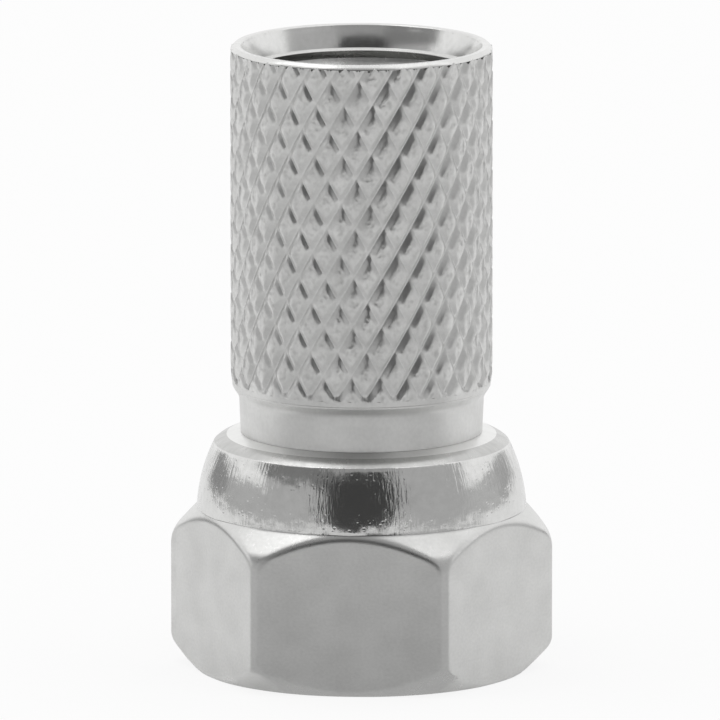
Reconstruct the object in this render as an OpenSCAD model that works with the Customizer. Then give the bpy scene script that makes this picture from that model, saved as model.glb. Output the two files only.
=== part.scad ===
// Twist-on coaxial plug: a knurled sleeve that screws onto a cable's jacket,
// and a hexagon coupling nut that turns freely on the sleeve's neck.
// The plug stands on the nut's front face, with the cable end up. Millimetres.

/* [Coupling nut] */
// Wall between the thread's crests and the hexagon's flats
nut_wall = 1.16; // [0.9:0.02:2]
// Turn of the hexagon about the axis, from a flat that faces the front
hex_turn = -4.3; // [-30:0.1:30]
// How far the hexagon's sharp corners are turned down
hex_corner_cut = 0.07; // [0.03:0.01:0.2]
// How far the edge of the front face lies inside the flats
face_inset = 0.04; // [0.02:0.01:0.2]
// Height at which the round shoulder rises out of the hexagon
hex_height = 5.35; // [4.8:0.05:6]
// Slope of the hexagon's rear bevel, up from level
hex_bevel_angle = 47; // [30:1:60]
// Radius that blends the rear bevel into the hexagon's corners
hex_bevel_blend = 1; // [0.4:0.1:1.6]
// Radius that blends the front bevel into the hexagon's corners
hex_front_blend = 0.5; // [0.2:0.1:1]
// Height of the whole nut
nut_height = 7.84; // [7.6:0.02:8.6]
// Thickness of the nut's rear wall, which the neck passes through
rear_wall = 1.64; // [1.2:0.02:2.2]

/* [Nut shoulder] */
// Step in from the hexagon's flats to the foot of the shoulder
shoulder_step = 0.08; // [0.04:0.01:0.2]
// Bulge radius of the shoulder's side
shoulder_bulge = 5.6; // [4.5:0.1:9]
// Lean of the shoulder's side at its foot
shoulder_flare = 3.4; // [0:0.1:8]
// Width of the level land on top, round the hole for the neck
shoulder_land = 0.55; // [0.15:0.05:0.8]
// Fall of the top face outside that land, down from level
shoulder_fall = 14; // [5:1:20]
// Radius of the edge between the shoulder's top and side
shoulder_edge = 0.4; // [0.2:0.05:0.8]

/* [Port thread] */
// Crest diameter of the nut's thread, for a 3/8-32 port
port_thread_d = 8.68; // [8.4:0.02:8.8]
// Size of the thread's lead-in bevel at the front face
port_lead_in = 0.5; // [0.2:0.05:0.8]
// Depth of the relief behind the thread, measured on the radius
relief_depth = 0.45; // [0.3:0.05:0.5]
// How far the relief starts ahead of the sleeve's flange
relief_lead = 0.4; // [0.1:0.05:1]

/* [Sleeve neck] */
// Wall of the neck that the nut turns on
neck_wall = 0.88; // [0.6:0.02:1]
// Gap between the flange's rim and the crests of the port thread
flange_gap = 0.19; // [0.1:0.01:0.4]
// Thickness of the flange that holds the nut on
flange_thickness = 0.85; // [0.5:0.05:1]
// Small bevel on the flange and at the ends of the nut's neck hole
edge_break = 0.12; // [0.05:0.01:0.2]

/* [Sleeve grip] */
// Number of grooves in each of the two crossing hands
knurl_starts = 28; // [16:1:36]
// Height of the knurled band
knurl_height = 11; // [4:0.1:20]
// Height of one diamond from groove crossing to groove crossing
diamond_height = 1.635; // [1:0.005:2.2]
// Depth of the knurl's grooves
knurl_depth = 0.14; // [0.1:0.01:0.25]
// Flat share of each diamond, across its middle
knurl_flat = 0.5; // [0.2:0.05:0.8]
// Turn of the diamonds' columns from one half row to the next
knurl_drift = 0.27; // [-0.6:0.01:0.6]
// Turn of the whole knurl about the axis, from a groove crossing that faces the front
knurl_turn = 1.55; // [-6:0.05:6]
// Bevel on the outside of the rim
rim_bevel = 0.1; // [0.04:0.01:0.15]
// Plain band between the rim's bevel and the knurl
rim_land = 0.02; // [0.02:0.01:0.4]
// Plain band between the knurl and the foot's bevel
foot_land = 0.34; // [0.06:0.01:0.4]
// How far the foot lies inside the knurl's crests
foot_step = 0.05; // [0.04:0.01:0.1]
// How far the collar lies inside the knurl's crests
collar_step = 0.27; // [0.15:0.01:0.4]
// Narrowing of the collar from its top to its foot, on the radius
collar_taper = 0.06; // [0:0.01:0.15]
// Height of the plain collar
collar_height = 1.13; // [0.6:0.01:3]

/* [Cable passage] */
// Crest diameter of the thread that bites the cable's jacket
cable_thread_d = 7; // [6.4:0.1:8]
// Diameter of the hole for the cable's inner insulation
core_hole_d = 5; // [4:0.1:5.4]
// Step from the thread's crests out to the top of the smooth mouth, on the radius
mouth_step = 0.44; // [0.3:0.02:0.6]
// Narrowing of the smooth mouth from its top to its ledge, on the radius
mouth_flare = 0.25; // [0:0.01:0.28]
// Wall left between the mouth and the bottoms of the knurl's grooves
mouth_wall = 0.22; // [0.12:0.01:0.6]
// Depth of the smooth mouth
mouth_depth = 0.67; // [0.4:0.01:1.6]
// Bevel on the mouth's edge
mouth_bevel = 0.06; // [0.02:0.01:0.1]
// Height of the ledge that narrows the mouth to the cable thread
ledge_height = 0.06; // [0.02:0.01:0.6]
// Height of the funnel's foot above the foot of the collar
funnel_rise = 0.81; // [0.3:0.01:1.5]

/* [Clearances] */
// Gap between the neck and the nut's hole, measured on the radius
neck_gap = 0.07; // [0.03:0.01:0.1]
// Play of the nut along the sleeve, at each of its two stops
end_gap = 0.05; // [0.03:0.01:0.2]

/* [Hidden] */
$fn = 120;
bite = 0.03;
past = 1;

port_r = port_thread_d / 2;
relief_r = port_r + relief_depth;
hex_inner = port_r + nut_wall;
hex_outer = hex_inner / cos(30) - hex_corner_cut;
shoulder_r = hex_inner - shoulder_step;
core_hole_r = core_hole_d / 2;
neck_r = core_hole_r + neck_wall;
neck_hole_r = neck_r + neck_gap;
roof_z = nut_height - rear_wall;

flange_r = port_r - flange_gap;
flange_top = roof_z - end_gap;
flange_face = flange_top - flange_thickness;
relief_z = flange_face - relief_lead;

cable_thread_r = cable_thread_d / 2;
mouth_r = cable_thread_r + mouth_step;
root_r = mouth_r + mouth_wall;
knurl_r = root_r + knurl_depth;
collar_r = knurl_r - collar_step;
foot_r = knurl_r - foot_step;
collar_z = nut_height + end_gap;
foot_z = collar_z + collar_height;
knurl_z = foot_z + (foot_r - collar_r) + foot_land;
knurl_top = knurl_z + knurl_height;
sleeve_top = knurl_top + rim_land + rim_bevel;

// Points of an arc about [x, y], from one angle to another.
function arc(x, y, r, from, to, steps) =
    [for (i = [0:steps]) let (a = from + (to - from) * i / steps) [x + r * cos(a), y + r * sin(a)]];

// The knurl's grooves cross on half rows, which are numbered from the bottom.
// A diamond lies between two crossings of one half row. Its flat has four corners of its own.
half_rows = ceil(2 * knurl_height / diamond_height);
step = 360 / knurl_starts;
first_turn = 270 + knurl_turn;
LEFT = 0;
RIGHT = 1;
TOP = 2;
BOTTOM = 3;
function crossing(row, i) = row * knurl_starts + (i + knurl_starts) % knurl_starts;
function corner(row, i, side) = (half_rows + 1) * knurl_starts + 4 * crossing(row, i) + side;
function middle(row, i) = first_turn + (i + 0.5 + (row % 2) / 2) * step + knurl_drift * row;
function height(row) = knurl_z + row * diamond_height / 2;
function on_drum(r, a, z) = [r * cos(a), r * sin(a), z];

function crossing_point(row, i) = on_drum(root_r, middle(row, i) - step / 2, height(row));
// At the foot the flats are drawn in, so that the knurl runs into the plain band.
function side_point(row, i, way) =
    on_drum(row == 0 ? foot_r - bite : knurl_r, middle(row, i) + way * knurl_flat * step / 2,
            height(row));
function tip_point(row, i, way) =
    on_drum(knurl_r, middle(row, i) + way * knurl_flat * knurl_drift,
            height(row) + way * knurl_flat * diamond_height / 2);

knurl_points = concat(
    [for (row = [0:half_rows], i = [0:knurl_starts - 1]) crossing_point(row, i)],
    [for (row = [0:half_rows], i = [0:knurl_starts - 1]) each [
        side_point(row, i, -1), side_point(row, i, 1), tip_point(row, i, 1), tip_point(row, i, -1)
    ]],
    [on_drum(0, 0, height(0)), on_drum(0, 0, height(half_rows))]
);

function upper_half(row, i) =
    let (left = crossing(row, i), right = crossing(row, i + 1), tip = crossing(row + 1, i + row % 2))
    let (l = corner(row, i, LEFT), r = corner(row, i, RIGHT), t = corner(row, i, TOP))
    [[right, r, t], [right, t, tip], [tip, t, l], [tip, l, left], [l, t, r]];
function lower_half(row, i) =
    let (left = crossing(row, i), right = crossing(row, i + 1), tip = crossing(row - 1, i + row % 2))
    let (l = corner(row, i, LEFT), r = corner(row, i, RIGHT), b = corner(row, i, BOTTOM))
    [[left, l, b], [left, b, tip], [tip, b, r], [tip, r, right], [l, r, b]];
function end_fan(row, i, axis) =
    let (l = corner(row, i, LEFT), r = corner(row, i, RIGHT))
    [for (edge = [[crossing(row, i), l], [l, r], [r, crossing(row, i + 1)]])
        row == 0 ? [axis, edge[0], edge[1]] : [axis, edge[1], edge[0]]];

knurl_faces = [
    for (i = [0:knurl_starts - 1]) each concat(
        [for (row = [0:half_rows - 1]) each upper_half(row, i)],
        [for (row = [1:half_rows]) each lower_half(row, i)],
        end_fan(0, i, len(knurl_points) - 2),
        end_fan(half_rows, i, len(knurl_points) - 1)
    )
];

// The top row of diamonds is cut off level where the rim begins.
module knurl() {
    intersection() {
        polyhedron(points = knurl_points, faces = knurl_faces, convexity = 4);
        translate([0, 0, knurl_z - past])
            cylinder(r = knurl_r + past, h = past + knurl_height);
    }
}

// Everything that the lathe turns on the sleeve's outside, with a plain core under the knurl.
module sleeve_outside() {
    core_r = root_r - bite;
    rotate_extrude()
        polygon([
            [0, flange_face],
            [flange_r - edge_break, flange_face],
            [flange_r, flange_face + edge_break],
            [flange_r, flange_top],
            [neck_r, flange_top],
            [neck_r, collar_z],
            [collar_r - collar_taper, collar_z],
            [collar_r, foot_z],
            [foot_r, foot_z + foot_r - collar_r],
            [foot_r, knurl_z + bite],
            [core_r, knurl_z + bite],
            [core_r, knurl_top - bite],
            [knurl_r, knurl_top - bite],
            [knurl_r, sleeve_top - rim_bevel],
            [knurl_r - rim_bevel, sleeve_top],
            [0, sleeve_top],
        ]);
}

// The way through: mouth, ledge, cable thread, funnel and the hole for the inner insulation.
module cable_passage() {
    funnel_z = collar_z + funnel_rise;
    rotate_extrude()
        polygon([
            [0, flange_face - past],
            [core_hole_r + edge_break + past, flange_face - past],
            [core_hole_r + edge_break, flange_face],
            [core_hole_r, flange_face + edge_break],
            [core_hole_r, funnel_z],
            [cable_thread_r, funnel_z + cable_thread_r - core_hole_r],
            [cable_thread_r, sleeve_top - mouth_depth - ledge_height],
            [mouth_r - mouth_flare, sleeve_top - mouth_depth],
            [mouth_r, sleeve_top - mouth_bevel],
            [mouth_r + mouth_bevel, sleeve_top],
            [mouth_r + mouth_bevel + past, sleeve_top + past],
            [0, sleeve_top + past],
        ]);
}

module knurled_sleeve() {
    color([0.78, 0.78, 0.76])
        difference() {
            union() {
                sleeve_outside();
                knurl();
            }
            cable_passage();
        }
}

// A hexagon bar whose corners are trimmed by a turned blank with a bevel at each end.
module nut_hexagon() {
    face_r = hex_inner - face_inset;
    front_z = hex_outer - face_r + hex_front_blend * (cos(45) + sin(45) - 1);
    bevel_r = hex_outer - hex_bevel_blend * (1 - sin(hex_bevel_angle));
    bevel_z = hex_height - (bevel_r - shoulder_r) * tan(hex_bevel_angle);
    rear_z = bevel_z - hex_bevel_blend * cos(hex_bevel_angle);
    bite_z = hex_height + bite * tan(hex_bevel_angle);
    intersection() {
        rotate([0, 0, hex_turn])
            translate([0, 0, -past])
                cylinder(r = hex_inner / cos(30), h = nut_height + 2 * past, $fn = 6);
        rotate_extrude()
            polygon(concat(
                [[0, 0], [face_r, 0]],
                arc(hex_outer - hex_front_blend, front_z, hex_front_blend, -45, 0, 4),
                arc(hex_outer - hex_bevel_blend, rear_z, hex_bevel_blend, 0, 90 - hex_bevel_angle, 5),
                [[shoulder_r - bite, bite_z], [0, bite_z]]
            ));
    }
}

// The round shoulder behind the hexagon: a bulging side, a small edge radius and a falling top.
module nut_shoulder() {
    side_x = shoulder_r - shoulder_bulge * cos(shoulder_flare);
    side_z = hex_height - shoulder_bulge * sin(shoulder_flare);
    // The edge's centre lies one edge radius inside both the side and the top.
    reach = shoulder_bulge - shoulder_edge;
    fall = tan(shoulder_fall);
    land_r = neck_hole_r + shoulder_land;
    crown = nut_height + fall * land_r - shoulder_edge / cos(shoulder_fall) - side_z;
    half_b = side_x + fall * crown;
    whole_c = side_x * side_x + crown * crown - reach * reach;
    edge_x = (half_b + sqrt(half_b * half_b - (1 + fall * fall) * whole_c)) / (1 + fall * fall);
    edge_z = side_z + crown - fall * edge_x;
    lean = atan2(edge_z - side_z, edge_x - side_x);
    rotate_extrude()
        polygon(concat(
            [[0, hex_height / 2], [shoulder_r, hex_height / 2]],
            arc(side_x, side_z, shoulder_bulge, shoulder_flare, lean, 7),
            arc(edge_x, edge_z, shoulder_edge, lean + 12, 90 - shoulder_fall, 4),
            [[land_r, nut_height], [0, nut_height]]
        ));
}

// The nut's inside: lead-in, thread crests, relief and the hole for the neck.
module nut_passage() {
    rotate_extrude()
        polygon([
            [0, -past],
            [port_r + port_lead_in + past, -past],
            [port_r + port_lead_in, 0],
            [port_r, port_lead_in],
            [port_r, relief_z],
            [relief_r, relief_z + relief_depth],
            [relief_r, roof_z],
            [neck_hole_r + edge_break, roof_z],
            [neck_hole_r, roof_z + edge_break],
            [neck_hole_r, nut_height - edge_break],
            [neck_hole_r + edge_break, nut_height],
            [neck_hole_r + edge_break, nut_height + past],
            [0, nut_height + past],
        ]);
}

module coupling_nut() {
    color([0.8, 0.8, 0.78])
        difference() {
            union() {
                nut_hexagon();
                nut_shoulder();
            }
            nut_passage();
        }
}

knurled_sleeve();
coupling_nut();
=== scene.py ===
import math
import bpy
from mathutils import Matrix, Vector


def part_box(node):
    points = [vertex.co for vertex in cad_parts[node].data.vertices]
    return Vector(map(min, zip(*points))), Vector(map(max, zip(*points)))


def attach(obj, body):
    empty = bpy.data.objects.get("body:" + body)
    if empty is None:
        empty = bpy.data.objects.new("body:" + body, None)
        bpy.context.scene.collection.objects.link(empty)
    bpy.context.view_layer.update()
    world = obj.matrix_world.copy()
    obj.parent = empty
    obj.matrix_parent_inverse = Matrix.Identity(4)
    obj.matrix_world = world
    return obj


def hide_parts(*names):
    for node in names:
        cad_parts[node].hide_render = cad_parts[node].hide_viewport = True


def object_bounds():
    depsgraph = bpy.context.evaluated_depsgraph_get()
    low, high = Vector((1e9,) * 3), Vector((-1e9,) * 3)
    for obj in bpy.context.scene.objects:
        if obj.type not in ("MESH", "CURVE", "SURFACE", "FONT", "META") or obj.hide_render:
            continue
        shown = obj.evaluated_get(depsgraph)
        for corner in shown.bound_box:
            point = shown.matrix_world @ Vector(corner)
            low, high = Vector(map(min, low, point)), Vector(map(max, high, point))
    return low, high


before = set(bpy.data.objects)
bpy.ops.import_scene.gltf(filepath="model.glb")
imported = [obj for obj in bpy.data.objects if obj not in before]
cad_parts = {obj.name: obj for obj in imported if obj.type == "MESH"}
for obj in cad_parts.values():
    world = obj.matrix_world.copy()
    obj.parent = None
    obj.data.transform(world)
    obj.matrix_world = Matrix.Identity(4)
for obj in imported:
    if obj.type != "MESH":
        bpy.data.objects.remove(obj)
cad_low, cad_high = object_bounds()
mm = 0.001

# --- Coupling nut ------------------------------------------------------------------------------
# The nut screws onto the port and turns freely on the sleeve's neck. It is turned from drawn
# hexagon brass bar and nickel-plated: the lathe leaves a bevel at each end of the flats, a round
# shoulder behind them and the port thread inside.

nut_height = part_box("coupling_nut")[1].z
flat_r = 5.5 * mm
corner_r = flat_r / math.cos(math.pi / 6) - 0.07 * mm
hex_turn = math.radians(-4.3)
hex_height = 5.35 * mm
shoulder_r = flat_r - 0.08 * mm
port_r = 4.34 * mm
port_pitch = 25.4 / 32 * mm
port_lead_in = 0.5 * mm
relief_r = port_r + 0.45 * mm
roof_z = nut_height - 1.64 * mm
relief_z = roof_z - 1.3 * mm
neck_hole_r = 3.45 * mm
edge_break = 0.12 * mm


def steps(start, end, count):
    """Points along a straight stretch of a section, without its first point."""
    return [
        (start[0] + (end[0] - start[0]) * i / count, start[1] + (end[1] - start[1]) * i / count)
        for i in range(1, count + 1)
    ]


def bow(x, z, r, start, end, count):
    """Points along an arc of a section, from one angle in degrees to another."""
    turns = [math.radians(start + (end - start) * i / count) for i in range(count + 1)]
    return [(x + r * math.cos(turn), z + r * math.sin(turn)) for turn in turns]


def turned(name, section, sides, turn=0.0):
    """A piece off the lathe: its section is drawn point by point, closed, and spun about Z."""
    bpy.ops.object.select_all(action="DESELECT")
    bpy.ops.mesh.primitive_plane_add(size=mm)
    piece = bpy.context.object
    piece.name = name
    bpy.ops.object.mode_set(mode="EDIT")
    bpy.ops.mesh.merge(type="CENTER")
    x, z = section[0]
    bpy.ops.transform.translate(value=(x, 0, z))
    for next_x, next_z in section[1:]:
        bpy.ops.mesh.extrude_vertices_move(
            TRANSFORM_OT_translate={"value": (next_x - x, 0, next_z - z)}
        )
        x, z = next_x, next_z
    bpy.ops.mesh.select_all(action="DESELECT")
    bpy.ops.object.mode_set(mode="OBJECT")
    piece.data.vertices[0].select = True
    piece.data.vertices[len(section) - 1].select = True
    bpy.ops.object.mode_set(mode="EDIT")
    bpy.ops.mesh.edge_face_add()
    bpy.ops.mesh.select_all(action="SELECT")
    bpy.ops.transform.rotate(value=-turn, orient_axis="Z", center_override=(0, 0, 0))
    bpy.ops.mesh.spin(steps=sides, angle=2 * math.pi, center=(0, 0, 0), axis=(0, 0, 1))
    bpy.ops.mesh.select_all(action="SELECT")
    bpy.ops.mesh.remove_doubles(threshold=0.0005 * mm)
    bpy.ops.mesh.normals_make_consistent(inside=False)
    bpy.ops.object.mode_set(mode="OBJECT")
    return piece


shoulder_bulge = 5.6 * mm
flare = 3.4
side_x = shoulder_r - shoulder_bulge * math.cos(math.radians(flare))
side_z = hex_height - shoulder_bulge * math.sin(math.radians(flare))
side_end = 26
edge_x = side_x + shoulder_bulge * math.cos(math.radians(side_end))
edge_z = side_z + shoulder_bulge * math.sin(math.radians(side_end))
land_r = 4 * mm
fall = 14
# The top falls gently from the land and rounds over just inside the shoulder's crisp edge.
brow_x = edge_x - 0.34 * mm
brow_z = nut_height - (brow_x - land_r) * math.tan(math.radians(fall))

bevel_slope = 47
bevel_blend = 1 * mm
bevel_r = corner_r - bevel_blend * (1 - math.sin(math.radians(bevel_slope)))
bevel_z = hex_height - (bevel_r - shoulder_r) * math.tan(math.radians(bevel_slope))
rear_z = bevel_z - bevel_blend * math.cos(math.radians(bevel_slope))
face_r = flat_r - 0.04 * mm
front_blend = 0.5 * mm
front_z = corner_r - face_r + front_blend * (math.sqrt(2) - 1)
front_x = corner_r - front_blend

nut_section = (
    [(port_r + port_lead_in, 0), (face_r - 0.4 * mm, 0), (face_r - 0.05 * mm, 0)]
    + [(face_r - 0.01 * mm, 0.006 * mm), (face_r + 0.025 * mm, 0.035 * mm)]
    + steps(
        (face_r + 0.025 * mm, 0.025 * mm),
        (front_x + front_blend * math.sqrt(0.5), front_z - front_blend * math.sqrt(0.5)),
        10,
    )
    + bow(front_x, front_z, front_blend, -45, 0, 8)[1:]
    + steps((corner_r, front_z), (corner_r, rear_z), 14)
    + bow(corner_r - bevel_blend, rear_z, bevel_blend, 0, 90 - bevel_slope, 16)[1:]
    + steps((bevel_r, bevel_z), (shoulder_r + 0.015 * mm, hex_height - 0.016 * mm), 14)
    + [(shoulder_r + 0.003 * mm, hex_height + 0.002 * mm)]
    + bow(side_x, side_z, shoulder_bulge, flare + 0.3, side_end - 0.3, 24)
    + [(edge_x - 0.02 * mm, edge_z + 0.02 * mm)]
    + [(edge_x - 0.11 * mm, edge_z + 0.095 * mm), (edge_x - 0.19 * mm, edge_z + 0.150 * mm)]
    + [(edge_x - 0.27 * mm, edge_z + 0.190 * mm)]
    + steps((brow_x, brow_z), (land_r, nut_height), 6)
    + [(neck_hole_r + edge_break, nut_height), (neck_hole_r, nut_height - edge_break)]
    + [(neck_hole_r, roof_z + edge_break), (neck_hole_r + edge_break, roof_z)]
    + [(relief_r - 0.1 * mm, roof_z), (relief_r, roof_z - 0.1 * mm)]
    + [(relief_r, relief_z + relief_r - port_r), (port_r, relief_z)]
    + steps((port_r, relief_z), (port_r, port_lead_in), 66)
)
nut = turned("nut", nut_section, 360, hex_turn)

# The columns of the mesh are drawn towards the bar's six edges. Then the flats cut off what the
# lathe left proud of them, with a soft edge along the bevels and a crisper one down the bar.
gather = 0.3
bar_edge = 0.02
bevel_edge = 0.13
for vertex in nut.data.vertices:
    x, y, z = vertex.co
    radius = math.hypot(x, y)
    angle = math.atan2(y, x) + math.pi / 2 - hex_turn
    off_edge = (angle % (math.pi / 3)) / (math.pi / 6) - 1
    angle += (abs(off_edge) ** gather - 1) * off_edge * math.pi / 6
    if radius > shoulder_r + 0.001 * mm and z < hex_height + 0.03 * mm:
        off_flat = (angle + math.pi / 6) % (math.pi / 3) - math.pi / 6
        limit = flat_r / math.cos(off_flat)
        up = min(max((z - rear_z) / (bevel_z - rear_z), (front_z - z) / front_z, 0), 1)
        soft = (bar_edge + bevel_edge * up) * mm
        gap = max(soft - abs(limit - radius), 0)
        radius = min(limit, radius) - gap * gap / (4 * soft)
    angle += hex_turn - math.pi / 2
    vertex.co.x = radius * math.cos(angle)
    vertex.co.y = radius * math.sin(angle)


def cut_thread(piece, crest_r, depth, pitch, foot, head):
    """Cuts a right-hand 60 degree thread outwards into a plain bore between two heights."""
    flank_slope, root_flat, run_out, near = 2.6, 0.15, 0.3 * pitch, 0.01 * mm
    for vertex in piece.data.vertices:
        x, y, z = vertex.co
        radius = math.hypot(x, y)
        if abs(radius - crest_r) < near and foot - near < z < head + near:
            phase = (z / pitch - math.atan2(y, x) / (2 * math.pi)) % 1
            flank = min(max(1 + root_flat - abs(phase - 0.5) * flank_slope, 0), 1)
            fade = min((z - foot) / run_out, (head - z) / run_out, 1)
            wider = 1 + depth * flank * max(fade, 0) / radius
            vertex.co.x *= wider
            vertex.co.y *= wider


port_thread_depth = 0.42 * mm
cut_thread(nut, port_r, port_thread_depth, port_pitch, port_lead_in, relief_z)


def node(tree, kind, links=None, **settings):
    """A node in a tree, with its settings, and its inputs linked or set by name or number."""
    new = tree.nodes.new(kind)
    for name, value in settings.items():
        setattr(new, name, value)
    for socket, value in (links or {}).items():
        if isinstance(value, bpy.types.NodeSocket):
            tree.links.new(value, new.inputs[socket])
        else:
            new.inputs[socket].default_value = value
    return new


def group_socket(group, name, kind, default=None, output=False):
    """A named input or output on a shader node group."""
    side = "OUTPUT" if output else "INPUT"
    socket = group.interface.new_socket(name=name, in_out=side, socket_type=kind)
    if default is not None:
        socket.default_value = default


# Places round the axis: the way round as a length, then the height.
round_axis = bpy.data.node_groups.new("round_the_axis", "ShaderNodeTree")
group_socket(round_axis, "Vector", "NodeSocketVector", output=True)
place = node(round_axis, "ShaderNodeTexCoord")
parts = node(round_axis, "ShaderNodeSeparateXYZ", {0: place.outputs["Object"]})
way = node(
    round_axis,
    "ShaderNodeMath",
    {0: parts.outputs["Y"], 1: parts.outputs["X"]},
    operation="ARCTAN2",
)
usual_r = 4.8 * mm
way_length = node(
    round_axis, "ShaderNodeMath", {0: way.outputs[0], 1: usual_r}, operation="MULTIPLY"
)
joined = node(
    round_axis, "ShaderNodeCombineXYZ", {"X": way_length.outputs[0], "Z": parts.outputs["Z"]}
)
node(round_axis, "NodeGroupOutput", {"Vector": joined.outputs[0]})

# The plating's own grain: a fine mottle over the metal under it, drawn marks and small pits.
# A noise's scale counts waves per metre; the marks take theirs from the mapping before them.
grain = bpy.data.node_groups.new("plating_grain", "ShaderNodeTree")
group_socket(grain, "Vector", "NodeSocketVector")
group_socket(grain, "Bright", "NodeSocketColor", (0.8, 0.8, 0.79, 1))
group_socket(grain, "Dull", "NodeSocketColor", (0.7, 0.7, 0.69, 1))
group_socket(grain, "Smooth", "NodeSocketFloat", 0.2)
group_socket(grain, "Rough", "NodeSocketFloat", 0.3)
group_socket(grain, "Mottle Size", "NodeSocketFloat", 0.1 * mm)
group_socket(grain, "Marks", "NodeSocketFloat", 0.0)
group_socket(grain, "Pits", "NodeSocketFloat", 0.0)
group_socket(grain, "Waves", "NodeSocketFloat", 0.0)
group_socket(grain, "Color", "NodeSocketColor", output=True)
group_socket(grain, "Roughness", "NodeSocketFloat", output=True)
group_socket(grain, "Height", "NodeSocketFloat", output=True)
skin_in = node(grain, "NodeGroupInput").outputs
per_size = node(
    grain, "ShaderNodeMath", {0: 1.0, 1: skin_in["Mottle Size"]}, operation="DIVIDE"
)
mottle = node(
    grain,
    "ShaderNodeTexNoise",
    {"Vector": skin_in["Vector"], "Scale": per_size.outputs[0], "Detail": 4.0},
)
broad = node(
    grain,
    "ShaderNodeTexNoise",
    {"Vector": skin_in["Vector"], "Scale": 900.0, "Detail": 2.0},
)
mixed = node(
    grain, "ShaderNodeMath", {0: mottle.outputs["Fac"], 1: broad.outputs["Fac"]}, operation="ADD"
)
spread = node(
    grain,
    "ShaderNodeMapRange",
    {"Value": mixed.outputs[0], "From Min": 0.7, "From Max": 1.3},
)
tone = node(
    grain,
    "ShaderNodeMix",
    {0: spread.outputs[0], 6: skin_in["Bright"], 7: skin_in["Dull"]},
    data_type="RGBA",
)
dullness = node(
    grain,
    "ShaderNodeMix",
    {0: spread.outputs[0], 2: skin_in["Smooth"], 3: skin_in["Rough"]},
    data_type="FLOAT",
)
stretched = node(
    grain,
    "ShaderNodeMapping",
    {"Vector": skin_in["Vector"], "Scale": (12000, 12000, 1500)},
)
marks = node(
    grain, "ShaderNodeTexNoise", {"Vector": stretched.outputs[0], "Scale": 1.0, "Detail": 3.0}
)
pit_cells = node(
    grain, "ShaderNodeTexVoronoi", {"Vector": skin_in["Vector"], "Scale": 5200.0}
)
pits = node(
    grain,
    "ShaderNodeMapRange",
    {"Value": pit_cells.outputs["Distance"], "From Min": 0.10, "From Max": 0.26},
)
marks_height = node(
    grain,
    "ShaderNodeMath",
    {0: marks.outputs["Fac"], 1: skin_in["Marks"]},
    operation="MULTIPLY",
)
pitted = node(
    grain,
    "ShaderNodeMath",
    {0: pits.outputs[0], 1: skin_in["Pits"], 2: marks_height.outputs[0]},
    operation="MULTIPLY_ADD",
)
waved = node(
    grain,
    "ShaderNodeMath",
    {0: broad.outputs["Fac"], 1: skin_in["Waves"], 2: pitted.outputs[0]},
    operation="MULTIPLY_ADD",
)
skin_height = node(
    grain,
    "ShaderNodeMath",
    {0: mottle.outputs["Fac"], 1: 0.3, 2: waved.outputs[0]},
    operation="MULTIPLY_ADD",
)
node(
    grain,
    "NodeGroupOutput",
    {
        "Color": tone.outputs[2],
        "Roughness": dullness.outputs[0],
        "Height": skin_height.outputs[0],
    },
)


def nickel(name, bump, **values):
    """Bright nickel plating: metal whose tone, polish and relief come from the grain."""
    material = bpy.data.materials.new(name)
    material.use_nodes = True
    tree = material.node_tree
    shader = tree.nodes["Principled BSDF"]
    shader.inputs["Metallic"].default_value = 1
    around = node(tree, "ShaderNodeGroup", node_tree=round_axis, name="around")
    skin = node(tree, "ShaderNodeGroup", node_tree=grain, name="skin")
    tree.links.new(around.outputs[0], skin.inputs["Vector"])
    for socket, value in values.items():
        skin.inputs[socket.replace("_", " ").title()].default_value = value
    relief = node(
        tree, "ShaderNodeBump", {"Height": skin.outputs["Height"], "Distance": bump}, name="relief"
    )
    tree.links.new(skin.outputs["Color"], shader.inputs["Base Color"])
    tree.links.new(skin.outputs["Roughness"], shader.inputs["Roughness"])
    tree.links.new(relief.outputs[0], shader.inputs["Normal"])
    return material


hexagon = nickel(
    "hexagon", 0.009 * mm, bright=(0.73, 0.73, 0.72, 1), dull=(0.66, 0.66, 0.65, 1),
    mottle_size=0.09 * mm,
)
# The drawn flats are matte and the turned bevels bright: what leans has been under the tool.
hexagon_tree = hexagon.node_tree
leaning = node(hexagon_tree, "ShaderNodeNewGeometry")
lean = node(hexagon_tree, "ShaderNodeSeparateXYZ", {0: leaning.outputs["Normal"]})
lean_size = node(
    hexagon_tree, "ShaderNodeMath", {0: lean.outputs["Z"]}, operation="ABSOLUTE"
)
for socket, flat_value, bevel_value in (("Smooth", 0.36, 0.26), ("Rough", 0.44, 0.33)):
    polish = node(
        hexagon_tree,
        "ShaderNodeMapRange",
        {
            "Value": lean_size.outputs[0],
            "From Min": 0.03,
            "From Max": 0.3,
            "To Min": flat_value,
            "To Max": bevel_value,
        },
    )
    hexagon_tree.links.new(polish.outputs[0], hexagon_tree.nodes["skin"].inputs[socket])
turned_shoulder = nickel(
    "turned_shoulder", 0.005 * mm, bright=(0.75, 0.75, 0.74, 1), dull=(0.67, 0.67, 0.66, 1),
    smooth=0.09, rough=0.19, mottle_size=0.25 * mm, marks=2.2, pits=0.5, waves=9.0,
)
# Painted light: the nut's top face is given a lighter colour than the rest of the plating.
top_face_painted_light = nickel(
    "top_face_painted_light", 0.003 * mm, bright=(0.88, 0.88, 0.87, 1), dull=(0.83, 0.83, 0.82, 1),
    smooth=0.30, rough=0.38, mottle_size=0.15 * mm,
)
# Painted shade: the bores of nut and sleeve are given a darker colour than the rest of the
# plating.
bore_painted_shade = nickel(
    "bore_painted_shade", 0.003 * mm, bright=(0.62, 0.62, 0.61, 1), dull=(0.52, 0.52, 0.51, 1),
    smooth=0.25, rough=0.35, mottle_size=0.2 * mm,
)
nut_materials = (hexagon, turned_shoulder, bore_painted_shade, top_face_painted_light)
for material in nut_materials:
    nut.data.materials.append(material)
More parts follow.
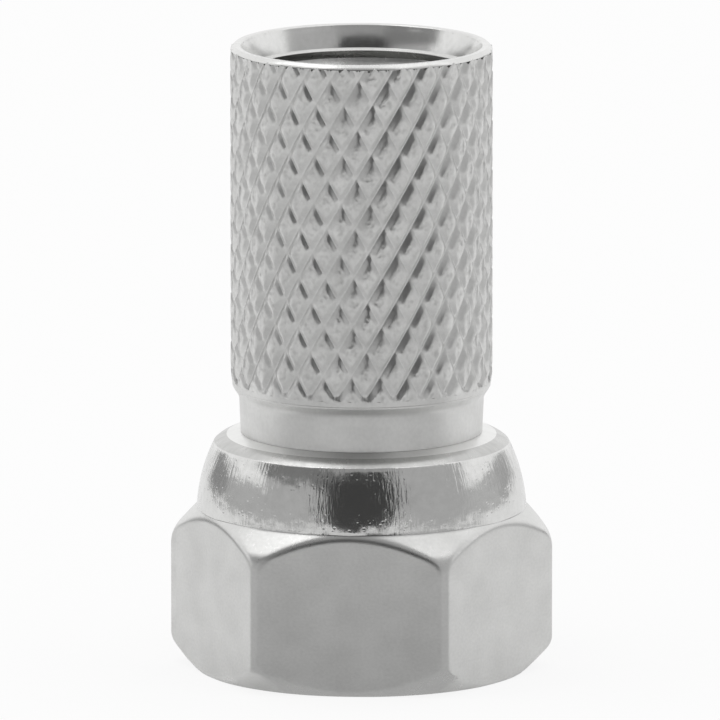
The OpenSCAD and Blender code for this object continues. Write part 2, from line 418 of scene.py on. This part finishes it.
# The top face takes the lighter colour of painted light, the bore the darker one of painted shade.
for face in nut.data.polygons:
    x, y, z = face.center
    in_bore = math.hypot(x, y) < relief_r + 0.05 * mm and z < nut_height - 0.1 * mm
    if in_bore and z > 0.01 * mm:
        face.material_index = nut_materials.index(bore_painted_shade)
    elif z > edge_z + 0.02 * mm:
        face.material_index = nut_materials.index(top_face_painted_light)
    elif z > hex_height - 0.005 * mm:
        face.material_index = nut_materials.index(turned_shoulder)


def smoothed(piece, angle):
    """Shades a piece smooth, but for its edges that are sharper than an angle in degrees."""
    bpy.ops.object.select_all(action="DESELECT")
    piece.select_set(True)
    bpy.context.view_layer.objects.active = piece
    bpy.ops.object.shade_smooth_by_angle(angle=math.radians(angle))


smoothed(nut, 40)
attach(nut, "nut")
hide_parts("coupling_nut")

# --- Sleeve --------------------------------------------------------------------------------------
# The sleeve holds the cable, which screws into its rear. One turned brass piece, nickel-plated:
# a flange that keeps it in the nut, a neck, a plain collar, a knurled grip and a smooth mouth
# above the cable thread.

sleeve_low, sleeve_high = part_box("knurled_sleeve")
flange_face, sleeve_top = sleeve_low.z, sleeve_high.z
flange_r = port_r - 0.19 * mm
end_gap = 0.05 * mm
flange_top = roof_z - end_gap
neck_r = neck_hole_r - 0.07 * mm
collar_z = nut_height + end_gap
# The plug rests with its collar all but touching the nut.
rest_gap = 0.004 * mm
collar_low = nut_height + rest_gap
knurl_r = 4.3 * mm
collar_r = knurl_r - 0.27 * mm
foot_z = collar_z + 1.13 * mm
foot_r = knurl_r - 0.05 * mm
knurl_z = foot_z + 0.48 * mm
core_hole_r = 2.5 * mm
cable_r = 3.5 * mm
cable_pitch = 1 * mm
# The smooth mouth is a bell: it narrows from here by an arc down to its ledge.
mouth_r = cable_r + 0.4 * mm
bell_r = 2.875 * mm
mouth_z = sleeve_top - 0.735 * mm
thread_z = mouth_z - 0.07 * mm
funnel_z = collar_z + 1.81 * mm
rim_z = sleeve_top - 0.15 * mm
under_knurl_r = knurl_r - 0.22 * mm
# The foot swells from the collar to the knurl, with one fine turned line near its top. Each pair
# is how far out from the collar and how far up from the foot's start, in millimetres.
foot_curve = (
    (0.002, 0.0), (0.025, 0.07), (0.075, 0.15), (0.13, 0.23),
    (0.16, 0.28), (0.155, 0.31), (0.16, 0.34), (0.21, 0.37),
)

sleeve_section = (
    [(core_hole_r + edge_break, flange_face), (flange_r - edge_break, flange_face)]
    + [(flange_r, flange_face + edge_break), (flange_r, flange_top), (neck_r, flange_top)]
    + [(neck_r, collar_low), (collar_r - 0.065 * mm, collar_low)]
    + [(collar_r - 0.06 * mm, collar_low + 0.005 * mm)]
    + steps(
        (collar_r - 0.06 * mm, collar_low + 0.03 * mm),
        (collar_r - 0.01 * mm, foot_z - 0.04 * mm),
        4,
    )
    + [(collar_r + out * mm, foot_z + up * mm) for out, up in foot_curve]
    + [(foot_r, knurl_z), (foot_r, knurl_z + 0.05 * mm)]
    + [(under_knurl_r, knurl_z + 0.25 * mm), (under_knurl_r, rim_z)]
    + [(knurl_r - 0.005 * mm, rim_z), (knurl_r - 0.007 * mm, rim_z + 0.012 * mm)]
    + [(knurl_r - 0.02 * mm, rim_z + 0.035 * mm), (knurl_r - 0.105 * mm, sleeve_top - 0.02 * mm)]
    + [(knurl_r - 0.13 * mm, sleeve_top), (mouth_r + 0.10 * mm, sleeve_top)]
    + [(mouth_r + 0.075 * mm, sleeve_top - 0.012 * mm)]
    + [(mouth_r + 0.055 * mm, sleeve_top - 0.035 * mm)]
    + bow(mouth_r + 2.526 * mm, sleeve_top - 1.512 * mm, bell_r, 149.8, 164.3, 9)
    + [(cable_r + 0.02 * mm, thread_z), (cable_r, thread_z - 0.02 * mm)]
    + steps((cable_r, thread_z - 0.02 * mm), (cable_r, funnel_z), 120)
    + [(core_hole_r, funnel_z - cable_r + core_hole_r), (core_hole_r, flange_face + edge_break)]
)
sleeve = turned("sleeve", sleeve_section, 240)
cable_thread_depth = 0.3 * mm
cut_thread(sleeve, cable_r, cable_thread_depth, cable_pitch, funnel_z, thread_z)

turned_collar = nickel(
    "turned_collar", 0.004 * mm, bright=(0.74, 0.74, 0.73, 1), dull=(0.68, 0.68, 0.67, 1),
    smooth=0.32, rough=0.42, mottle_size=0.15 * mm,
)
polished_rim = nickel(
    "polished_rim", 0.002 * mm, bright=(0.76, 0.76, 0.75, 1), dull=(0.71, 0.71, 0.70, 1),
    smooth=0.16, rough=0.25, mottle_size=0.2 * mm, marks=0.5,
)

# The knurl: two crossing hands of rolled grooves leave rows of diamonds. One diamond is shaped,
# repeated in rows, bent round the sleeve and twisted by the little that its columns lean.
starts = 28
diamond_w = 2 * math.pi * knurl_r / starts
diamond_h = 1.635 * mm
drift = math.radians(0.54)
groove_depth = 0.14 * mm
# How far out each line of the diamond lies from its middle, and how high the metal stands there.
# The falling grooves are narrow and shallow. The rising ones are deep, with a steep upper wall and
# a gentle lower one.
beside_falling = (
    (-1.0, 0.30), (-0.93, 0.36), (-0.75, 0.93), (-0.58, 1.0), (0.0, 1.0),
    (0.58, 1.0), (0.75, 0.93), (0.93, 0.36), (1.0, 0.30),
)
beside_rising = (
    (-1.0, 0.0), (-0.92, 0.05), (-0.69, 0.92), (-0.54, 1.0), (0.0, 1.0),
    (0.42, 0.99), (0.62, 0.80), (0.92, 0.05), (1.0, 0.0),
)
# The rolls push up the plateau's edges, leave its middle dished and let its corners fall away.
dish = 0.3
corner_fall = 0.8
plateau = 0.75
lines = len(beside_rising) - 1
middle_line = lines // 2

bpy.ops.object.select_all(action="DESELECT")
bpy.ops.mesh.primitive_grid_add(x_subdivisions=lines, y_subdivisions=lines, size=lines)
knurl = bpy.context.object
knurl.name = "knurl"
lattice = knurl.data.uv_layers["UVMap"]
for vertex in knurl.data.vertices:
    # a runs along the rising grooves and b along the falling ones, from -1 to 1.
    column, row = round(vertex.co.x), round(vertex.co.y)
    a, beside_a = beside_falling[column + middle_line]
    b, beside_b = beside_rising[row + middle_line]
    level = min(beside_a, beside_b)
    if column == 0 and row == 0:
        level -= dish
    elif level > plateau:
        level -= corner_fall * max(abs(a) + abs(b) - 1, 0)
    vertex.co = (
        (a - b) * diamond_w / 4,
        groove_depth * (1 - level),
        (a + b) * diamond_h / 4,
    )
for loop in knurl.data.loops:
    x, y, z = knurl.data.vertices[loop.vertex_index].co
    lattice.data[loop.index].uv = (x / diamond_w + z / diamond_h, z / diamond_h - x / diamond_w)


def rows(piece, name, count, step):
    """Repeats a piece along a straight step and welds each copy to the one before."""
    array = piece.modifiers.new(name, "ARRAY")
    array.count = count
    array.use_relative_offset = False
    array.use_constant_offset = True
    array.constant_offset_displace = step
    array.use_merge_vertices = True
    array.merge_threshold = 0.001 * mm
    bpy.context.view_layer.objects.active = piece
    bpy.ops.object.modifier_apply(modifier=name)


tiers = 8
rows(knurl, "round", starts, (diamond_w, 0, 0))
rows(knurl, "stagger", 2, (diamond_w / 2, 0, diamond_h / 2))
rows(knurl, "up", tiers, (0, 0, diamond_h))

wrap = knurl.modifiers.new("wrap", "SIMPLE_DEFORM")
wrap.deform_method = "BEND"
wrap.deform_axis = "Z"
wrap.angle = 2 * math.pi * (starts + 0.5) / starts
bpy.ops.object.modifier_apply(modifier="wrap")

crossing_z = 9.58 * mm
crossing_turn = math.radians(1.55 + 180 / starts)
bpy.ops.object.mode_set(mode="EDIT")
bpy.ops.mesh.select_all(action="SELECT")
bpy.ops.transform.translate(value=(0, -knurl_r, crossing_z))
bpy.ops.mesh.remove_doubles(threshold=0.002 * mm)
bpy.ops.object.mode_set(mode="OBJECT")
# The grooves run out just above the foot, and the lowest metal draws in to meet it.
groove_end_z = knurl_z + 0.09 * mm
run_out = 0.13 * mm
draw_height = 0.3 * mm
draw_depth = 0.06 * mm
for vertex in knurl.data.vertices:
    x, y, z = vertex.co
    radius = math.hypot(x, y)
    turn = math.atan2(y, x) + crossing_turn + drift * (z - crossing_z) / diamond_h
    running_out = min(max((z - groove_end_z) / run_out, 0), 1)
    radius = knurl_r - (knurl_r - radius) * running_out
    drawn_in = min(max(1 - (z - knurl_z) / draw_height, 0), 1)
    radius = min(radius, knurl_r - draw_depth * drawn_in)
    vertex.co.x = radius * math.cos(turn)
    vertex.co.y = radius * math.sin(turn)
bpy.ops.object.mode_set(mode="EDIT")
bpy.ops.mesh.select_all(action="SELECT")
bpy.ops.mesh.bisect(plane_co=(0, 0, knurl_z - 0.02 * mm), plane_no=(0, 0, 1), clear_inner=True)
bpy.ops.mesh.select_all(action="SELECT")
bpy.ops.mesh.bisect(plane_co=(0, 0, rim_z + 0.005 * mm), plane_no=(0, 0, 1), clear_outer=True)
bpy.ops.mesh.select_all(action="DESELECT")
bpy.ops.mesh.select_non_manifold()
bpy.ops.mesh.extrude_edges_move()
shrink = (under_knurl_r - 0.02 * mm) / knurl_r
bpy.ops.transform.resize(value=(shrink, shrink, 1), center_override=(0, 0, 0))
bpy.ops.mesh.select_all(action="DESELECT")
bpy.ops.mesh.select_non_manifold()
bpy.ops.mesh.bridge_edge_loops()
bpy.ops.mesh.select_all(action="SELECT")
bpy.ops.mesh.normals_make_consistent(inside=False)
bpy.ops.object.mode_set(mode="OBJECT")
smoothed(knurl, 55)
smoothed(sleeve, 32)

rolled_knurl = nickel(
    "rolled_knurl", 0.008 * mm, bright=(0.76, 0.76, 0.75, 1), dull=(0.67, 0.67, 0.66, 1),
    smooth=0.28, rough=0.40, mottle_size=0.13 * mm,
)
# The rolls bite into the middle of each diamond and leave it pitted. The pits are also painted
# darker, as painted shade.
bitten_tree = rolled_knurl.node_tree
cell_place = node(bitten_tree, "ShaderNodeUVMap", uv_map="UVMap")
cell_parts = node(bitten_tree, "ShaderNodeSeparateXYZ", {0: cell_place.outputs[0]})
cell_across = node(
    bitten_tree, "ShaderNodeMath", {0: cell_parts.outputs["X"]}, operation="ABSOLUTE"
)
cell_along = node(
    bitten_tree, "ShaderNodeMath", {0: cell_parts.outputs["Y"]}, operation="ABSOLUTE"
)
cell_edge = node(
    bitten_tree,
    "ShaderNodeMath",
    {0: cell_across.outputs[0], 1: cell_along.outputs[0]},
    operation="MAXIMUM",
)
middle = node(
    bitten_tree,
    "ShaderNodeMapRange",
    {
        "Value": cell_edge.outputs[0],
        "From Min": 0.16,
        "From Max": 0.38,
        "To Min": 1.0,
        "To Max": 0.0,
    },
)
bites = node(
    bitten_tree,
    "ShaderNodeTexNoise",
    {"Vector": bitten_tree.nodes["around"].outputs[0], "Scale": 4400.0, "Detail": 1.0},
)
bite = node(
    bitten_tree,
    "ShaderNodeMapRange",
    {"Value": bites.outputs["Fac"], "From Min": 0.46, "From Max": 0.76},
)
bite_depth_and_shade = node(
    bitten_tree,
    "ShaderNodeMath",
    {0: bite.outputs[0], 1: middle.outputs[0]},
    operation="MULTIPLY",
)
bitten = node(
    bitten_tree,
    "ShaderNodeMath",
    {0: bite_depth_and_shade.outputs[0], 1: -1.1, 2: bitten_tree.nodes["skin"].outputs["Height"]},
    operation="MULTIPLY_ADD",
)
bitten_tree.links.new(bitten.outputs[0], bitten_tree.nodes["relief"].inputs["Height"])
# Painted shade: the bitten pits are given a darker colour.
bite_painted_shade = node(
    bitten_tree,
    "ShaderNodeMix",
    {
        0: bite_depth_and_shade.outputs[0],
        6: bitten_tree.nodes["skin"].outputs["Color"],
        7: (0.54, 0.54, 0.53, 1),
    },
    data_type="RGBA",
)
bitten_tree.links.new(
    bite_painted_shade.outputs[2], bitten_tree.nodes["Principled BSDF"].inputs["Base Color"]
)
sleeve_materials = (turned_collar, polished_rim, bore_painted_shade, rolled_knurl)
for material in sleeve_materials:
    sleeve.data.materials.append(material)
    knurl.data.materials.append(material)
# The cable bore takes the darker colour of painted shade.
for face in sleeve.data.polygons:
    x, y, z = face.center
    radius = math.hypot(x, y)
    if radius < mouth_r - 0.01 * mm and flange_face + 0.01 * mm < z < thread_z:
        face.material_index = sleeve_materials.index(bore_painted_shade)
    elif z > rim_z - 0.001 * mm or (z > thread_z and radius < mouth_r + 0.1 * mm):
        face.material_index = sleeve_materials.index(polished_rim)
for face in knurl.data.polygons:
    face.material_index = sleeve_materials.index(rolled_knurl)
bpy.ops.object.select_all(action="DESELECT")
knurl.select_set(True)
sleeve.select_set(True)
bpy.context.view_layer.objects.active = sleeve
bpy.ops.object.join()
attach(sleeve, "sleeve")
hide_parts("knurled_sleeve")

# --- White table, soft boxes and camera ----------------------------------------------------------
# The plug stands on a white sheet in a white room. A long lens looks down on it a little, soft
# boxes hang high at both sides, and cloths around it give the plating its darks. A grey mat in
# front of it is painted shade on the table, seen only in the plating.

bpy.context.scene.view_settings.view_transform = "Standard"
world = bpy.data.worlds.new("white_room")
world.use_nodes = True
bpy.context.scene.world = world
room = world.node_tree
soft_light = room.nodes["Background"]
soft_light.inputs["Color"].default_value = (1, 1, 1, 1)
soft_light.inputs["Strength"].default_value = 0.9
white_wall = node(room, "ShaderNodeBackground", {"Color": (1, 1, 1, 1), "Strength": 1.0})


def seen_or_mirrored(tree, ray):
    """A mask of what the lens sees, straight on or in the plating."""
    either = node(
        tree,
        "ShaderNodeMath",
        {0: ray.outputs["Is Camera Ray"], 1: ray.outputs["Is Glossy Ray"]},
        operation="MAXIMUM",
    )
    return either.outputs[0]


room_seen = seen_or_mirrored(room, node(room, "ShaderNodeLightPath"))
choose = node(
    room,
    "ShaderNodeMixShader",
    {0: room_seen, 1: soft_light.outputs[0], 2: white_wall.outputs[0]},
)
room.links.new(choose.outputs[0], room.nodes["World Output"].inputs["Surface"])


def stage_sheet(name, width, height, place, rotation, colour):
    """A plain sheet of the studio: its size, place, turn and colour."""
    bpy.ops.object.select_all(action="DESELECT")
    bpy.ops.mesh.primitive_plane_add(size=1)
    sheet = bpy.context.object
    sheet.name = name
    sheet.scale = (width, height, 1)
    sheet.rotation_euler = rotation
    sheet.location = place
    bpy.ops.object.transform_apply(location=True, rotation=True, scale=True)
    cloth = bpy.data.materials.new(name)
    cloth.use_nodes = True
    shader = cloth.node_tree.nodes["Principled BSDF"]
    shader.inputs["Base Color"].default_value = (*colour, 1)
    shader.inputs["Roughness"].default_value = 1
    shader.inputs["Specular IOR Level"].default_value = 0
    sheet.data.materials.append(cloth)
    return sheet


table = stage_sheet("table", 4, 4, (0, 0, 0), (0, 0, 0), (0.9, 0.9, 0.9))
table_tree = table.data.materials[0].node_tree
table_ray = node(table_tree, "ShaderNodeLightPath")
table_seen = seen_or_mirrored(table_tree, table_ray)
# The table's share of pure white glow: what lens and plating both see, and what the lens sees
# on top of it.
shared_glow = 0.3
lens_glow = 0.55
table_glow = node(
    table_tree, "ShaderNodeMath", {0: table_seen, 1: shared_glow}, operation="MULTIPLY"
)
table_share = node(
    table_tree,
    "ShaderNodeMath",
    {0: table_ray.outputs["Is Camera Ray"], 1: lens_glow, 2: table_glow.outputs[0]},
    operation="MULTIPLY_ADD",
)
table_white = node(table_tree, "ShaderNodeEmission", {"Color": (1, 1, 1, 1), "Strength": 1.0})
table_mix = node(
    table_tree,
    "ShaderNodeMixShader",
    {
        0: table_share.outputs[0],
        1: table_tree.nodes["Principled BSDF"].outputs[0],
        2: table_white.outputs[0],
    },
)
table_tree.links.new(
    table_mix.outputs[0], table_tree.nodes["Material Output"].inputs["Surface"]
)


def only_mirrored(sheet):
    """Hides a sheet from all but the plating, and lets it glow with its own grey."""
    sheet.data.materials[0].node_tree.nodes["Principled BSDF"].inputs[
        "Emission Strength"
    ].default_value = 1
    sheet.visible_camera = False
    sheet.visible_shadow = False
    sheet.visible_diffuse = False


def hung_cloth(name, way_round, height_angle, width_angle, tall_angle, grey):
    """A cloth that only the plating sees: how it hangs as seen from the plug, in degrees."""
    turn, rise = math.radians(way_round), math.radians(height_angle)
    place = (
        cloth_distance * math.cos(rise) * math.sin(turn),
        -cloth_distance * math.cos(rise) * math.cos(turn),
        cloth_distance * math.sin(rise) + middle_z,
    )
    width = 2 * cloth_distance * math.tan(math.radians(width_angle / 2))
    height = 2 * cloth_distance * math.tan(math.radians(tall_angle / 2))
    sheet = stage_sheet(name, width, height, place, (math.pi / 2 - rise, 0, turn), (0, 0, 0))
    shader = sheet.data.materials[0].node_tree.nodes["Principled BSDF"]
    shader.inputs["Emission Color"].default_value = (grey, grey, grey, 1)
    only_mirrored(sheet)


middle_z = (cad_low.z + cad_high.z) / 2 - 0.17 * mm
cloth_distance = 400 * mm
# Way round from the front, height, width and tallness in degrees, then the grey.
hung_cloth("black_cloth", -2, 19.5, 54, 41, 0.06)
hung_cloth("front_high", -2, 55, 44, 32, 0.36)
hung_cloth("left_front_low", -54, 11, 46, 28, 0.50)
hung_cloth("left_front_high", -56, 42, 56, 34, 0.22)
hung_cloth("left_side", -95, 4.5, 40, 17, 0.50)
hung_cloth("left_rear", -128, 4.5, 28, 15, 0.31)
hung_cloth("right_front", 54, 28, 56, 60, 0.48)
hung_cloth("right_side", 98, 4.5, 36, 17, 0.55)
hung_cloth("right_rear", 129, 4.5, 28, 15, 0.45)
# The mat lies just clear of the table and darkens towards the plug: painted shade on the table
# in front of it, as the plating sees it.
painted_shadow_mat = stage_sheet("painted_shadow_mat", 0.2, 0.3, (0, -0.1549, 0.00002), (0, 0, 0), (0, 0, 0))
mat_tree = painted_shadow_mat.data.materials[0].node_tree
mat_place = node(mat_tree, "ShaderNodeTexCoord")
mat_parts = node(mat_tree, "ShaderNodeSeparateXYZ", {0: mat_place.outputs["Object"]})
mat_painted_shadow = node(
    mat_tree,
    "ShaderNodeMapRange",
    {
        "Value": mat_parts.outputs["Y"],
        "From Min": -45 * mm,
        "From Max": -7 * mm,
        "To Min": 0.76,
        "To Max": 0.50,
    },
)
mat_tree.links.new(
    mat_painted_shadow.outputs[0], mat_tree.nodes["Principled BSDF"].inputs["Emission Color"]
)
only_mirrored(painted_shadow_mat)


def soft_box(name, place, width, height, level):
    """A square lamp of an even brightness, facing the middle of the plug."""
    data = bpy.data.lights.new(name, "AREA")
    data.shape = "RECTANGLE"
    data.size = width
    data.size_y = height
    data.energy = level * math.pi * width * height
    box = bpy.data.objects.new(name, data)
    bpy.context.scene.collection.objects.link(box)
    box.location = place
    x, y, z = place
    tilt = math.atan2(math.hypot(x, y), z - middle_z)
    box.rotation_euler = (tilt, 0, math.atan2(y, x) + math.pi / 2)


soft_box("left_box", (-0.162, -0.017, 0.303), 0.2, 0.2, 0.7)
soft_box("right_box", (0.162, -0.017, 0.303), 0.2, 0.2, 0.2)

look_down = math.radians(10.65)
lens_distance = 620 * mm
view_height = 23.645 * mm
camera_data = bpy.data.cameras.new("camera")
camera = bpy.data.objects.new("camera", camera_data)
bpy.context.scene.collection.objects.link(camera)
camera.location = (
    -0.05 * mm,
    -lens_distance * math.cos(look_down),
    middle_z + lens_distance * math.sin(look_down),
)
camera.rotation_euler = (math.pi / 2 - look_down, 0, 0)
camera_data.sensor_width = 36
camera_data.lens = 36 * lens_distance / view_height
camera_data.clip_start = 10 * mm
camera_data.clip_end = 5
bpy.context.scene.camera = camera
